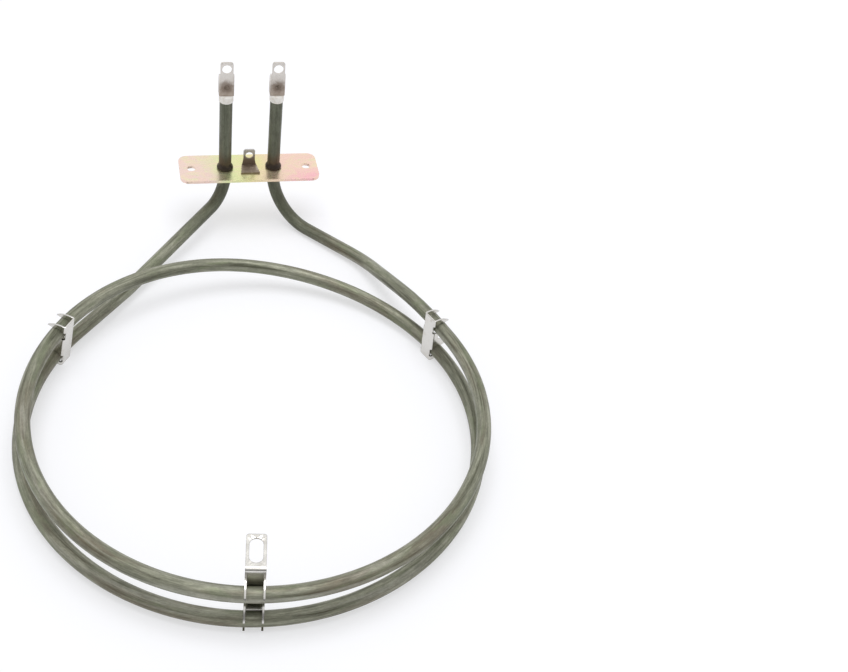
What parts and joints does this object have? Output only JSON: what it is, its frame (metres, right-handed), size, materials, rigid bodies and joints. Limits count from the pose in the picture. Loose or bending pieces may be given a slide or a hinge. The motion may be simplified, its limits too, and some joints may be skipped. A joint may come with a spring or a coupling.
{
  "type": "tubular heating element",
  "caption": "Ring-shaped tubular heating element for a fan oven, its turns held apart by folded spring clips, with a mounting plate, an earth tab and folded tab terminals.",
  "frame": {"origin": "midpoint between the two screw holes, on the face of the mounting plate that meets the oven wall", "axes": "+X from the left screw hole to the right one, +Y away from the ring, +Z along the legs towards the terminals"},
  "size_m": [0.2078, 0.2734, 0.0954],
  "materials": {
    "sheath": "annealed sheath with an olive-grey oxide film, streaked along its length",
    "magnesia": "packed magnesium oxide powder, matt off-white",
    "resistance_wire": "wound resistance wire, dull grey",
    "passivated_plate": "zinc plated steel with a yellow passivation that shades into pink",
    "dark_steel": "steel darkened brown by heat and welding",
    "bright_steel": "bright cold-rolled stainless sheet",
    "pin_steel": "plain steel rod",
    "seal": "soft silicone moisture seal",
    "ceramic": "unglazed off-white steatite ceramic",
    "terminal_steel": "nickel plated steel with a brownish weld tint near the pin"
  },
  "bodies": {
    "root": {"sheath_tube": "sheath", "magnesia_fill": "magnesia", "heating_coil": "resistance_wire", "mounting_plate": "passivated_plate", "earth_tab": "dark_steel", "front_clip": "bright_steel", "left_clip": "bright_steel", "right_clip": "bright_steel", "left_cold_pin": "pin_steel", "left_end_seal": "seal", "left_end_bush": "ceramic", "left_terminal": "terminal_steel", "right_cold_pin": "pin_steel", "right_end_seal": "seal", "right_end_bush": "ceramic", "right_terminal": "terminal_steel"}
  },
  "joints": []
}
